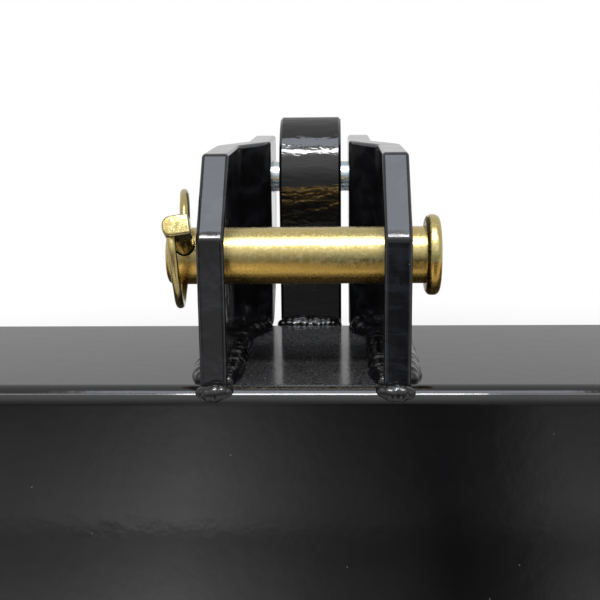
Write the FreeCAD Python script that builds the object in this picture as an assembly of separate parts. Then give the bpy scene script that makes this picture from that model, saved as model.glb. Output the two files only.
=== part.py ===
"""Three point quick hitch for a small tractor, built as its separate pieces.

Frame: X runs across the tractor, +Y points back to the implement, +Z up.
The origin lies on the top link pin's axis, midway between the clevis cheeks.
All sizes are in millimetres.
"""
import FreeCAD, Part
import math
import os

from FreeCAD import Vector

# ---- driving dimensions -------------------------------------------------

# crossbar: square tube
tube_side = 89.0
tube_wall = 5.0
tube_corner = 4.2
cap_thickness = 5.0

# clevis for the tractor's top link
pin_diameter = 19.05
pin_above_tube = 39.8
pin_behind_front = 22.5
pin_end_past_cheek = 11.5
pin_end_rounding = 2.0
flange_diameter = 26.9
flange_thickness = 4.8
flange_rounding = 2.0
flange_gap = 5.2
cheek_thickness = 9.0
cheek_height = 73.5
cheek_setback = 4.2
cheek_front_gap = 51.0
cheek_rear_gap = 30.5
cheek_bend_run = 20.0
cheek_bend_to_washer = 4.4
cheek_past_hook = 10.0
cheek_bend_radius = 8.0
cheek_fold_height = 48.0
cheek_slope_depth = 22.5
cheek_tail_height = 24.0
cheek_tail_run = 30.0
cheek_edge_rounding = 1.3
cheek_fold_rounding = 2.5

# top hook: flame-cut plate behind the crossbar
hook_thickness = 24.5
hook_spine_width = 24.0
hook_top_above_tube = 81.6
hook_crown_radius = 27.0
hook_tip_rounding = 3.0
hook_seat_radius = 16.5
hook_seat_below_tube = 30.0
hook_wall = 22.0
hook_lip_rise = 22.0
hook_lip_flare = 8.0
hook_foot_drop = 5.5
hook_edge_chamfer = 1.0

# tie bolt through the cheeks' tails and the hook
tie_diameter = 12.0
tie_hole_clearance = 0.5
tie_below_hook_top = 23.3
hex_across_flats = 18.0
hex_head_height = 7.5
hex_nut_height = 10.0
washer_outer = 24.0
washer_thickness = 2.5
bolt_tail = 3.0
bolt_chamfer = 1.2

# legs: rectangular tube
leg_width = 50.8
leg_wall = 5.0
foot_plate_thickness = 5.0
foot_above_stud = 68.2

# spacing to the standard for small tractors
hook_span = 683.0
seat_to_seat = 381.0
mast_height = 457.0

# lower hook plates
plate_thickness = 20.0
lower_seat_radius = 19.0
lower_hook_wall = 26.0
lower_lip_rise = 22.0
lower_lip_flare = 9.0
plate_above_pivot = 57.2
plate_front_inset = 9.0
plate_rounding = 14.0
plate_throat_height = 50.0
stud_boss_radius = 27.0
plate_edge_rounding = 1.5

# lower link studs
stud_diameter = 22.2
stud_collar_diameter = 34.0
stud_collar_thickness = 4.0
stud_reach_to_hole = 49.0
stud_past_hole = 13.0
stud_seat_length = 38.5
stud_lead_diameter = 20.6
stud_chamfer = 2.5
stud_weld_stub = 4.0

# linchpin with its spring ring
linch_shank_diameter = 6.3
linch_hole_clearance = 0.35
linch_tip_gap = 0.5
linch_head_length = 9.2
linch_head_height = 7.0
linch_head_thickness = 6.4
linch_head_rounding = 3.2
linch_tip_chamfer = 1.0
linch_tilt = 31.3
linch_from_cheek = 4.9
ring_wire = 2.8
ring_outer = 39.6
ring_side_offset = 1.0
ring_end_set_in = 1.0
ring_stub_depth = 2.4
ring_pin_gap = 0.9
lower_ring_open = 180.0
lower_linch_seat_gap = 0.3

# spring latch on each lower hook
latch_thickness = 8.0
latch_side_gap = 0.4
latch_boss_radius = 17.0
latch_nose_clearance = 0.6
latch_nose_depth = 26.0
latch_heel_angle = -80.0
latch_tip_angle = -62.7
latch_throat_angle = -64.7
latch_root_angle = -2.7
latch_arm_width = 24.0
latch_arm_length = 190.0
latch_arm_rise = 34.0
latch_tip_rounding = 4.0
latch_edge_rounding = 0.8
pivot_behind_leg = 15.5
pivot_above_lower_seat = 100.8
pivot_diameter = 12.0
pivot_flange_diameter = 24.0
pivot_flange_thickness = 2.0
stop_diameter = 12.0
stop_from_pivot = 30.0
grip_length = 84.0
grip_wall = 4.0
grip_rounding = 7.0

# latch spring between a peg on the lever and a peg on the hook plate
spring_outer = 12.0
spring_wire = 2.0
spring_pitch = 4.2
spring_turns = 14
spring_side_gap = 1.0
spring_peg_from_pivot = 72.0
spring_peg_below_arm_line = 4.0
spring_length = 84.0
spring_loop_turn = 300.0
peg_diameter = 8.0
peg_groove_diameter = 6.0
peg_groove_width = 3.0
peg_head = 2.0

# weld beads
clevis_weld_size = 4.2
clevis_weld_stop = 1.0
nose_weld_radius = 4.2
nose_weld_set_in = 2.0
hook_weld_size = 5.5
leg_weld_size = 5.0
plate_weld_size = 4.5
seam_set_in = 1.4
plate_weld_stop = 28.0

running_clearance = 0.08
face_gap = 0.3

# ---- places worked out from the dimensions ------------------------------

tube_top = -pin_above_tube
tube_bottom = tube_top - tube_side
tube_front = -pin_behind_front
tube_rear = tube_front + tube_side
leg_outer_x = hook_span / 2 - plate_thickness / 2
leg_inner_x = leg_outer_x - leg_width
cheek_inner_x = cheek_front_gap / 2
cheek_outer_x = cheek_inner_x + cheek_thickness
tail_inner_x = cheek_rear_gap / 2
tail_outer_x = tail_inner_x + cheek_thickness
cheek_front_y = tube_front + cheek_setback
hook_top_z = tube_top + hook_top_above_tube
hook_spine_y = tube_rear + hook_spine_width
cheek_rear_y = hook_spine_y + cheek_past_hook
tie_y = tube_rear + hook_spine_width / 2
tie_z = hook_top_z - tie_below_hook_top
cheek_bend_end = tie_y - washer_outer / 2 - cheek_bend_to_washer
cheek_bend_start = cheek_bend_end - cheek_bend_run
top_seat = (hook_spine_y + hook_seat_radius, tube_top - hook_seat_below_tube)
lower_seat = (top_seat[0], top_seat[1] - seat_to_seat)
stud_axis = (0.0, -mast_height)
leg_bottom = stud_axis[1] + foot_above_stud
plate_inner_x = leg_outer_x
plate_outer_x = plate_inner_x + plate_thickness
stud_collar_x = plate_outer_x + stud_collar_thickness
stud_lead_x = stud_collar_x + stud_seat_length
stud_hole_x = plate_outer_x + stud_reach_to_hole
stud_end_x = stud_hole_x + stud_past_hole
latch_inner_x = plate_outer_x + latch_side_gap
latch_outer_x = latch_inner_x + latch_thickness
pivot = (tube_rear + pivot_behind_leg, lower_seat[1] + pivot_above_lower_seat)
plate_top = pivot[1] + plate_above_pivot
seat_from_pivot = math.hypot(lower_seat[0] - pivot[0], lower_seat[1] - pivot[1])
nose_radius = seat_from_pivot - lower_seat_radius - latch_nose_clearance
ring_radius = (ring_outer - ring_wire) / 2
spring_x = latch_outer_x + spring_side_gap + spring_outer / 2
peg_end_x = spring_x + peg_groove_width / 2 + peg_head


# ---- small helpers ------------------------------------------------------

def polar(centre, radius, degrees):
    """Point in the Y-Z plane, the angle counted from +Y towards +Z."""
    a = math.radians(degrees)
    return (centre[0] + radius * math.cos(a), centre[1] + radius * math.sin(a))


def tangent_angle(centre_a, radius_a, centre_b, radius_b):
    """Where a line touches two circles on its left, as the angle on both."""
    dy = centre_b[0] - centre_a[0]
    dz = centre_b[1] - centre_a[1]
    spread = math.acos((radius_a - radius_b) / math.hypot(dy, dz))
    return math.degrees(math.atan2(dz, dy) + spread) % 360


def at(x, yz):
    return Vector(x, yz[0], yz[1])


def side_face(x, steps):
    """Face in the plane X = x. A step is a corner, or ("arc", middle, end)."""
    edges = []
    start = steps[0]
    here = start
    for step in steps[1:] + [start]:
        if step[0] == "arc":
            edges.append(Part.Arc(at(x, here), at(x, step[1]), at(x, step[2])).toShape())
            here = step[2]
        elif math.dist(here, step) > 1e-6:
            edges.append(Part.makeLine(at(x, here), at(x, step)))
            here = step
    return Part.Face(Part.Wire(edges))


def x_cylinder(radius, x_from, x_to, yz):
    return Part.makeCylinder(radius, x_to - x_from, at(x_from, yz), Vector(1, 0, 0))


def block(x, y, z):
    """Box from three (low, high) pairs."""
    return Part.makeBox(x[1] - x[0], y[1] - y[0], z[1] - z[0], Vector(x[0], y[0], z[0]))


def strip(x, start, end, width):
    """Round-ended strip in the plane X = x."""
    dy = end[0] - start[0]
    dz = end[1] - start[1]
    length = math.hypot(dy, dz)
    ny = -dz / length * width / 2
    nz = dy / length * width / 2
    uy = dy / length * width / 2
    uz = dz / length * width / 2
    return side_face(x, [
        (start[0] - ny, start[1] - nz),
        (end[0] - ny, end[1] - nz),
        ("arc", (end[0] + uy, end[1] + uz), (end[0] + ny, end[1] + nz)),
        (start[0] + ny, start[1] + nz),
        ("arc", (start[0] - uy, start[1] - uz), (start[0] - ny, start[1] - nz)),
    ])


def join(shapes):
    return shapes[0].fuse(shapes[1:]).removeSplitter()


def edges_at(solid, x=None, z=None):
    """Edges that lie in one plane across X or Z."""
    if x is not None:
        return [e for e in solid.Edges if abs(e.BoundBox.XMin - x) + abs(e.BoundBox.XMax - x) < 0.01]
    return [e for e in solid.Edges if abs(e.CenterOfMass.z - z) < 0.01]


def mirrored(shape):
    return shape.mirror(Vector(0, 0, 0), Vector(1, 0, 0))


def hexagon(x_from, height, yz):
    """Hexagon prism along X with turned corners."""
    corner = hex_across_flats / math.sqrt(3)
    points = [at(x_from, polar(yz, corner, 60 * k)) for k in range(7)]
    prism = Part.Face(Part.makePolygon(points)).extrude(Vector(height, 0, 0))
    depth = corner - hex_across_flats / 2
    low = Part.makeCone(corner - depth, corner + depth, 2 * depth, at(x_from, yz), Vector(1, 0, 0))
    high = Part.makeCone(corner + depth, corner - depth, 2 * depth,
                         at(x_from + height - 2 * depth, yz), Vector(1, 0, 0))
    middle = x_cylinder(corner + depth, x_from + 2 * depth, x_from + height - 2 * depth, yz)
    return prism.common(join([low, middle, high]))


def save(name, shape):
    """Write the mirrored or plain piece under its node's name."""
    shape.exportStep("parts/" + name + ".step")


def save_pair(name, right):
    save(name + "_right", right)
    save(name + "_left", mirrored(right))


# ---- crossbar -----------------------------------------------------------

def square_section(side_y, side_z, corner, y0, z0):
    """Rounded rectangle in the Y-Z plane at X = 0."""
    y1 = y0 + side_y
    z1 = z0 + side_z
    k = corner * (1 - math.sqrt(0.5))
    return side_face(0, [
        (y0 + corner, z0),
        (y1 - corner, z0),
        ("arc", (y1 - k, z0 + k), (y1, z0 + corner)),
        (y1, z1 - corner),
        ("arc", (y1 - k, z1 - k), (y1 - corner, z1)),
        (y0 + corner, z1),
        ("arc", (y0 + k, z1 - k), (y0, z1 - corner)),
        (y0, z0 + corner),
        ("arc", (y0 + k, z0 + k), (y0 + corner, z0)),
    ])


def crossbar_tube():
    half = leg_outer_x - cap_thickness
    outer = square_section(tube_side, tube_side, tube_corner, tube_front, tube_bottom)
    inner = block((-half, half), (tube_front + tube_wall, tube_rear - tube_wall),
                  (tube_bottom + tube_wall, tube_top - tube_wall))
    tube = outer.extrude(Vector(2 * half, 0, 0))
    tube.translate(Vector(-half, 0, 0))
    return tube.cut(inner)


def crossbar_cap():
    face = square_section(tube_side, tube_side, tube_corner, tube_front, tube_bottom)
    cap = face.extrude(Vector(cap_thickness, 0, 0))
    cap.translate(Vector(leg_outer_x - cap_thickness, 0, 0))
    return cap


# ---- clevis cheeks ------------------------------------------------------

def offset_corner(before, corner, after, distance):
    """Corner of a polyline moved sideways by the distance, mitred."""
    def normal(a, b):
        length = math.dist(a, b)
        return ((b[1] - a[1]) / length, -(b[0] - a[0]) / length)
    n1 = normal(before, corner)
    n2 = normal(corner, after)
    scale = distance / (1 + n1[0] * n2[0] + n1[1] * n2[1])
    return (corner[0] + (n1[0] + n2[0]) * scale, corner[1] + (n1[1] + n2[1]) * scale)


def cheek_sides():
    """The joggled plate's two long sides in plan, X-Y corners from front to rear."""
    front = (cheek_inner_x, cheek_front_y)
    bend_a = (cheek_inner_x, cheek_bend_start)
    bend_b = (tail_inner_x, cheek_bend_end)
    rear = (tail_inner_x, cheek_rear_y)
    inner = [front, bend_a, bend_b, rear]
    outer = [
        (front[0] + cheek_thickness, front[1]),
        offset_corner(front, bend_a, bend_b, cheek_thickness),
        offset_corner(bend_a, bend_b, rear, cheek_thickness),
        (rear[0] + cheek_thickness, rear[1]),
    ]
    return inner, outer


def plan_prism(corners, z_from, z_to):
    points = [Vector(x, y, z_from) for x, y in corners + corners[:1]]
    return Part.Face(Part.makePolygon(points)).extrude(Vector(0, 0, z_to - z_from))


def cheek():
    """Right cheek: joggled plate, sloped front top, cut-back tail, two holes.

    Each bend has the bend radius inside, and the plate's thickness more outside.
    """
    top = tube_top + cheek_height
    reach = 2 * cheek_thickness
    inner, outer = cheek_sides()
    plate = plan_prism(inner + outer[::-1], tube_top, top)
    for corners, radius in (((inner[1], outer[2]), cheek_bend_radius),
                            ((outer[1], inner[2]), cheek_bend_radius + cheek_thickness)):
        creases = [e for e in plate.Edges if e.BoundBox.ZLength > cheek_height / 2
                   and min(math.dist(e.CenterOfMass[:2], c) for c in corners) < 1]
        plate = plate.makeFillet(radius, creases)
    fold = (cheek_front_y, tube_top + cheek_fold_height)
    brow = (cheek_front_y + cheek_slope_depth, top)
    outline = side_face(0, [
        (cheek_front_y, tube_top),
        (tube_rear - tube_corner, tube_top),
        (cheek_rear_y - cheek_tail_run, tube_top + cheek_edge_rounding),
        (cheek_rear_y, tube_top + cheek_tail_height),
        (cheek_rear_y, top),
        brow,
        fold,
    ]).extrude(Vector(cheek_outer_x + reach, 0, 0))
    outline = outline.makeFillet(cheek_fold_rounding, [e for e in outline.Edges if min(
        math.dist(e.CenterOfMass[1:], corner) for corner in (fold, brow)) < 1])
    plate = plate.common(outline)
    front_run = cheek_bend_start - cheek_bend_radius

    def rim(edge):
        """Edges of the front, slope and top faces, apart from the bends."""
        c = edge.CenterOfMass
        across = abs(edge.BoundBox.XLength - cheek_thickness) < 0.01
        on_front = abs(c.y - cheek_front_y) < 0.01
        on_slope = cheek_front_y < c.y < cheek_front_y + cheek_slope_depth and c.z > tube_top + 1
        return c.z > tube_top + 1 and c.y < front_run and (on_front or on_slope) and not across
    plate = plate.makeFillet(cheek_edge_rounding, [e for e in plate.Edges if rim(e)])
    hole = x_cylinder(pin_diameter / 2 + running_clearance, 0, cheek_outer_x + reach, (0, 0))
    tie = x_cylinder(tie_diameter / 2 + tie_hole_clearance, 0, cheek_outer_x + reach, (tie_y, tie_z))
    return plate.cut([hole, tie])


def hook_mouth(seat, r, wall, rise, flare, leave):
    """Steps from the seat's front corner round the seat and the flared lip.

    The outer round ends at the angle where the lower edge leaves it.
    """
    outer = r + wall
    lip_z = seat[1] + rise
    inner_tip = (seat[0] + r + flare, lip_z + flare)
    outer_tip = (seat[0] + outer, inner_tip[1])
    half_tip = (outer_tip[0] - inner_tip[0]) / 2
    crown = (inner_tip[0] + half_tip, inner_tip[1] + half_tip)
    return [
        (seat[0] - r, seat[1]),
        ("arc", polar(seat, r, 270), (seat[0] + r, seat[1])),
        (seat[0] + r, lip_z),
        inner_tip,
        ("arc", crown, outer_tip),
        (seat[0] + outer, seat[1]),
        ("arc", polar(seat, outer, (leave + 360) / 2), polar(seat, outer, leave)),
    ]


# ---- top hook and tie bolt ----------------------------------------------

def top_hook():
    """J plate: spine with a swept-back crown, seat for the implement's pin, flared lip."""
    reach = hook_crown_radius - hook_tip_rounding
    lean = hook_crown_radius + hook_tip_rounding - hook_spine_width
    tip = (hook_spine_y - hook_tip_rounding, hook_top_z - hook_tip_rounding)
    crown = (tube_rear + hook_crown_radius, tip[1] - math.sqrt(reach ** 2 - lean ** 2))
    meet = math.degrees(math.acos(-lean / reach))
    outer = hook_seat_radius + hook_wall
    foot = (tube_rear, top_seat[1] - outer - hook_foot_drop)
    leave = tangent_angle(top_seat, outer, foot, 0)
    side = hook_thickness / 2
    mouth = hook_mouth(top_seat, hook_seat_radius, hook_wall, hook_lip_rise, hook_lip_flare, leave)
    plate = side_face(-side, [
        (tube_rear, crown[1]),
        ("arc", polar(crown, hook_crown_radius, (180 + meet) / 2), polar(crown, hook_crown_radius, meet)),
        ("arc", polar(tip, hook_tip_rounding, meet / 2), (hook_spine_y, tip[1])),
    ] + mouth + [
        foot,
    ]).extrude(Vector(hook_thickness, 0, 0))
    rims = edges_at(plate, x=side) + edges_at(plate, x=-side)
    plate = plate.makeChamfer(hook_edge_chamfer, rims)
    return plate.cut(x_cylinder(tie_diameter / 2 + tie_hole_clearance, -side, side, (tie_y, tie_z)))


def tie_bolt():
    """Hex bolt whose head bears on the left washer."""
    head_x = -tail_outer_x - washer_thickness
    end_x = tail_outer_x + washer_thickness + hex_nut_height + bolt_tail
    shank = x_cylinder(tie_diameter / 2, head_x, end_x, (tie_y, tie_z))
    shank = shank.makeChamfer(bolt_chamfer, edges_at(shank, x=end_x))
    return join([shank, hexagon(head_x - hex_head_height, hex_head_height, (tie_y, tie_z))])


def tie_nut():
    nut = hexagon(tail_outer_x + washer_thickness, hex_nut_height, (tie_y, tie_z))
    return nut.cut(x_cylinder(tie_diameter / 2, 0, 2 * leg_inner_x, (tie_y, tie_z)))


def tie_washers():
    """Flat washers under the bolt's head and its nut."""
    end_x = tail_outer_x + washer_thickness
    disc = x_cylinder(washer_outer / 2, tail_outer_x, end_x, (tie_y, tie_z))
    right = disc.cut(x_cylinder(tie_diameter / 2, tail_outer_x, end_x, (tie_y, tie_z)))
    return Part.makeCompound([right, mirrored(right)])


# ---- top link pin -------------------------------------------------------

def linch_direction(tilt):
    """Unit vector from a pin's axis out to the linchpin's head."""
    a = math.radians(tilt)
    return Vector(0, -math.cos(a), math.sin(a))


def linch_hole(x, yz, direction, length):
    r = linch_shank_diameter / 2 + linch_hole_clearance
    centre = at(x, yz)
    return Part.makeCylinder(r, 2 * length, centre - direction * length, direction)


top_linch_x = -cheek_outer_x - linch_from_cheek


def top_pin():
    r = pin_diameter / 2
    left = -cheek_outer_x - pin_end_past_cheek
    flange_x = cheek_outer_x + flange_gap
    shank = x_cylinder(r, left, flange_x + flange_thickness / 2, (0, 0))
    shank = shank.makeFillet(pin_end_rounding, edges_at(shank, x=left))
    flange = x_cylinder(flange_diameter / 2, flange_x, flange_x + flange_thickness, (0, 0))
    rims = edges_at(flange, x=flange_x) + edges_at(flange, x=flange_x + flange_thickness)
    flange = flange.makeFillet(flange_rounding, rims)
    hole = linch_hole(top_linch_x, (0, 0), linch_direction(linch_tilt), pin_diameter)
    return join([shank, flange]).cut(hole)


# ---- linchpins ----------------------------------------------------------

def linch_pieces(head_low):
    """Linchpin and closed ring: shank along Z, the pin it crosses along X.

    The head's underside stands head_low above the crossed pin's axis.
    """
    wire_r = ring_wire / 2
    shank_r = linch_shank_diameter / 2
    head_z = head_low + linch_head_thickness / 2
    ring_z = head_z + ring_end_set_in - ring_radius
    tip_z = ring_z - ring_radius + wire_r + linch_tip_gap
    ring_x = -ring_side_offset

    shank = Part.makeCylinder(shank_r, head_z - tip_z, Vector(0, 0, tip_z))
    shank = shank.makeChamfer(linch_tip_chamfer, edges_at(shank, z=tip_z))
    head = block((-linch_head_length / 2, linch_head_length / 2),
                 (-linch_head_height / 2, linch_head_height / 2),
                 (head_low, head_low + linch_head_thickness))
    ends = [e for e in edges_at(head, z=head_z) if e.CenterOfMass.x < 0]
    head = head.makeFillet(linch_head_rounding, ends)
    eye = Part.makeCylinder(wire_r + running_clearance, linch_head_height,
                            Vector(ring_x, -linch_head_height / 2, head_z), Vector(0, 1, 0))
    linchpin = join([shank, head]).cut(eye)

    half_chord = math.sqrt(ring_radius ** 2 - (ring_radius - ring_end_set_in) ** 2)
    mouth = math.degrees(math.asin(half_chord / ring_radius))
    hoop = Part.makeTorus(ring_radius, wire_r, Vector(0, 0, 0), Vector(0, 0, 1), 0, 360, 360 - 2 * mouth)
    hoop.rotate(Vector(0, 0, 0), Vector(0, 0, 1), mouth)
    hoop.rotate(Vector(0, 0, 0), Vector(0, 1, 0), -90)
    hoop.translate(Vector(ring_x, 0, ring_z))
    bits = [hoop]
    inset = linch_head_height / 2 - ring_stub_depth
    for side in (-1, 1):
        start = Vector(ring_x, side * inset, head_z)
        bits.append(Part.makeCylinder(wire_r, half_chord - inset, start, Vector(0, side, 0)))
        bits.append(Part.makeSphere(wire_r, Vector(ring_x, side * half_chord, head_z)))
    return linchpin, join(bits), Vector(ring_x, 0, head_z)


def top_linch():
    """Linchpin drawn out until its closed ring meets the far side of the pin."""
    far_side = pin_diameter / 2 + ring_pin_gap + ring_wire / 2
    head_z = 2 * ring_radius - far_side - ring_end_set_in
    pieces = linch_pieces(head_z - linch_head_thickness / 2)[:2]
    for piece in pieces:
        piece.rotate(Vector(0, 0, 0), Vector(1, 0, 0), 90 - linch_tilt)
        piece.translate(Vector(top_linch_x, 0, 0))
    return pieces


def lower_linch():
    """Left stud's linchpin, dropped onto the stud, its ring turned up open."""
    linchpin, ring, hinge = linch_pieces(stud_lead_diameter / 2 + lower_linch_seat_gap)
    ring.rotate(hinge, Vector(0, 1, 0), lower_ring_open)
    for piece in (linchpin, ring):
        piece.translate(at(-stud_hole_x, stud_axis))
    return linchpin, ring


# ---- legs and lower hooks -----------------------------------------------

def leg_solid():
    outer = block((leg_inner_x, leg_outer_x), (tube_front, tube_rear), (leg_bottom, tube_bottom))
    return outer.makeFillet(tube_corner, [e for e in outer.Edges if e.BoundBox.ZLength > tube_side])


def leg():
    inner = block((leg_inner_x + leg_wall, leg_outer_x - leg_wall),
                  (tube_front + leg_wall, tube_rear - leg_wall), (leg_bottom, tube_bottom))
    return leg_solid().cut(inner)


def leg_foot():
    """Plate that closes the leg's lower end, flush inside the tube."""
    return block((leg_inner_x + leg_wall, leg_outer_x - leg_wall),
                 (tube_front + leg_wall, tube_rear - leg_wall),
                 (leg_bottom, leg_bottom + foot_plate_thickness))


def lower_hook():
    """Plate lapped on the leg's outer side, with stud nose and J-shaped seat."""
    seat = lower_seat
    r = lower_seat_radius
    front_y = tube_front + plate_front_inset
    ear_y = pivot[0] + latch_boss_radius
    under = tangent_angle(seat, r + lower_hook_wall, stud_axis, stud_boss_radius)
    front = tangent_angle(stud_axis, stud_boss_radius, (front_y, leg_bottom), 0)
    mouth = hook_mouth(seat, r, lower_hook_wall, lower_lip_rise, lower_lip_flare, under)
    plate = side_face(plate_inner_x, [
        (front_y, plate_top),
        (tube_rear - plate_rounding, plate_top),
        (ear_y, pivot[1] + latch_boss_radius),
        (ear_y, pivot[1] - latch_boss_radius),
        (seat[0] - r, seat[1] + plate_throat_height),
    ] + mouth + [
        polar(stud_axis, stud_boss_radius, under),
        ("arc", polar(stud_axis, stud_boss_radius, (under + front) / 2),
         polar(stud_axis, stud_boss_radius, front)),
        (front_y, leg_bottom),
    ]).extrude(Vector(plate_thickness, 0, 0))
    corners = [e for e in plate.Edges if e.BoundBox.XLength > plate_thickness / 2
               and e.CenterOfMass.z > pivot[1] - latch_boss_radius - 1]
    plate = plate.makeFillet(plate_rounding, corners)
    plate = plate.makeFillet(plate_edge_rounding, edges_at(plate, x=plate_outer_x))
    stud = x_cylinder(stud_diameter / 2, plate_inner_x, plate_outer_x, stud_axis)
    bolt = x_cylinder(pivot_diameter / 2, plate_inner_x, plate_outer_x, pivot)
    return plate.cut([stud, bolt])


def lower_stud():
    """Round stud through the plate's nose: collar, seat, turned-down end."""
    bar = x_cylinder(stud_diameter / 2, plate_inner_x - stud_weld_stub, stud_lead_x, stud_axis)
    lead = x_cylinder(stud_lead_diameter / 2, stud_lead_x, stud_end_x, stud_axis)
    lead = lead.makeChamfer(stud_chamfer, edges_at(lead, x=stud_end_x))
    collar = x_cylinder(stud_collar_diameter / 2, plate_outer_x, stud_collar_x, stud_axis)
    hole = linch_hole(stud_hole_x, stud_axis, Vector(0, 0, 1), stud_diameter)
    return join([bar, lead, collar]).cut(hole)


# ---- latches ------------------------------------------------------------

arm_angle = 180 - latch_arm_rise


def along_arm(distance, side):
    """Point near the arm's centre line; side is positive above the arm."""
    return polar(polar(pivot, distance, arm_angle), side, arm_angle - 90)


lever_peg = along_arm(spring_peg_from_pivot, -spring_peg_below_arm_line)
plate_peg = (lever_peg[0], lever_peg[1] - spring_length)


def latch_lever():
    """Flat lever: boss, limb with the nose that shuts the mouth, arm, peg."""
    x = latch_inner_x
    boss = Part.Face(Part.Wire(Part.makeCircle(latch_boss_radius, at(x, pivot), Vector(1, 0, 0))))
    arm = strip(x, pivot, along_arm(latch_arm_length, 0), latch_arm_width)
    mid_angle = (latch_heel_angle + latch_tip_angle) / 2
    limb = side_face(x, [
        polar(pivot, latch_boss_radius, latch_heel_angle - 90),
        polar(pivot, nose_radius, latch_heel_angle),
        ("arc", polar(pivot, nose_radius, mid_angle), polar(pivot, nose_radius, latch_tip_angle)),
        polar(pivot, nose_radius - latch_nose_depth, latch_throat_angle),
        polar(pivot, latch_boss_radius, latch_root_angle),
    ])
    plate = join([boss, arm, limb]).extrude(Vector(latch_thickness, 0, 0))
    tip = at(x + latch_thickness / 2, polar(pivot, nose_radius, latch_tip_angle))
    plate = plate.makeFillet(latch_tip_rounding, [e for e in plate.Edges
                             if e.CenterOfMass.distanceToPoint(tip) < 1])
    rims = edges_at(plate, x=latch_inner_x) + edges_at(plate, x=latch_outer_x)
    plate = plate.makeFillet(latch_edge_rounding, rims)
    bore = x_cylinder(pivot_diameter / 2 + running_clearance, x, latch_outer_x, pivot)
    return join([plate.cut(bore), spring_peg(latch_outer_x, lever_peg)])


def spring_peg(x_from, yz):
    """Peg with a groove for the spring's end loop."""
    peg = x_cylinder(peg_diameter / 2, x_from, peg_end_x, yz)
    low = spring_x - peg_groove_width / 2
    ring = x_cylinder(peg_diameter, low, low + peg_groove_width, yz)
    ring = ring.cut(x_cylinder(peg_groove_diameter / 2, low, low + peg_groove_width, yz))
    return peg.cut(ring)


def latch_grip():
    """Dipped sleeve over the arm's end."""
    start = latch_arm_length + latch_arm_width / 2 + grip_wall - grip_length
    grown = strip(latch_inner_x - grip_wall, pivot, along_arm(latch_arm_length, 0),
                  latch_arm_width + 2 * grip_wall)
    sleeve = grown.extrude(Vector(latch_thickness + 2 * grip_wall, 0, 0))
    x_mid = latch_inner_x + latch_thickness / 2
    keep = Part.makeBox(4 * grip_length, latch_arm_width * 4, latch_arm_width * 4)
    keep.translate(Vector(0, -latch_arm_width * 2, -latch_arm_width * 2))
    keep.rotate(Vector(0, 0, 0), Vector(0, 0, 1), 90)
    keep.rotate(Vector(0, 0, 0), Vector(1, 0, 0), arm_angle)
    keep.translate(at(x_mid, along_arm(start, 0)))
    sleeve = sleeve.common(keep)
    flats = edges_at(sleeve, x=latch_inner_x - grip_wall) + edges_at(sleeve, x=latch_outer_x + grip_wall)
    sleeve = sleeve.makeFillet(grip_rounding, flats)
    arm = strip(latch_inner_x, pivot, along_arm(latch_arm_length, 0), latch_arm_width)
    arm = arm.extrude(Vector(latch_thickness, 0, 0))
    rims = edges_at(arm, x=latch_inner_x) + edges_at(arm, x=latch_outer_x)
    return sleeve.cut(arm.makeFillet(latch_edge_rounding, rims))


def latch_spring():
    """Extension spring with a loop round each peg, standing along Z."""
    wire_r = spring_wire / 2
    coil_r = spring_outer / 2 - wire_r
    coil_height = spring_pitch * spring_turns
    low = (lever_peg[1] + plate_peg[1] - coil_height) / 2
    helix = Part.makeHelix(spring_pitch, coil_height, coil_r)
    section = Part.Wire(Part.makeCircle(wire_r, Vector(coil_r, 0, 0), Vector(0, 1, 0)))
    coil = Part.Wire(helix).makePipeShell([section], True, True)
    coil.rotate(Vector(0, 0, 0), Vector(0, 0, 1), 90)
    coil.translate(at(spring_x, (lever_peg[0], low)))
    bits = [coil]
    play = coil_r - wire_r - peg_groove_diameter / 2 - running_clearance
    for peg, end_z, way in ((lever_peg, low + coil_height, -1), (plate_peg, low, 1)):
        loop_z = peg[1] + way * play
        side_y = peg[0] + coil_r
        foot = at(spring_x, (side_y, end_z))
        bits.append(Part.makeSphere(wire_r, foot))
        bits.append(Part.makeCylinder(wire_r, abs(loop_z - end_z), foot, Vector(0, 0, -way)))
        loop = Part.makeTorus(coil_r, wire_r, Vector(0, 0, 0), Vector(0, 0, 1), 0, 360, spring_loop_turn)
        loop.rotate(Vector(0, 0, 0), Vector(0, 1, 0), 90)
        if way < 0:
            loop.rotate(Vector(0, 0, 0), Vector(1, 0, 0), 90)
        else:
            loop.rotate(Vector(0, 0, 0), Vector(1, 0, 0), 90 - spring_loop_turn)
        loop.translate(at(spring_x, (peg[0], loop_z)))
        bits.append(loop)
    return join(bits)


def pivot_bolt():
    """Flanged bolt: the lever turns on its shank between plate and flange."""
    flange_x = latch_outer_x + face_gap
    nut_x = plate_inner_x - hex_nut_height - bolt_tail
    shank = x_cylinder(pivot_diameter / 2, nut_x, flange_x, pivot)
    flange = x_cylinder(pivot_flange_diameter / 2, flange_x, flange_x + pivot_flange_thickness, pivot)
    head = hexagon(flange_x + pivot_flange_thickness, hex_head_height, pivot)
    return join([shank, flange, head])


def pivot_nut():
    nut = hexagon(plate_inner_x - hex_nut_height, hex_nut_height, pivot)
    return nut.cut(x_cylinder(pivot_diameter / 2, leg_inner_x, plate_inner_x, pivot))


def latch_stop():
    """Pin on the hook plate that the arm rests on when the latch is shut."""
    below = latch_arm_width / 2 + face_gap + stop_diameter / 2
    return x_cylinder(stop_diameter / 2, plate_outer_x, latch_outer_x, along_arm(stop_from_pivot, -below))


# ---- weld beads ---------------------------------------------------------

def crossbar_solid():
    face = square_section(tube_side, tube_side, tube_corner, tube_front, tube_bottom)
    bar = face.extrude(Vector(2 * leg_outer_x, 0, 0))
    bar.translate(Vector(-leg_outer_x, 0, 0))
    return bar


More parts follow.
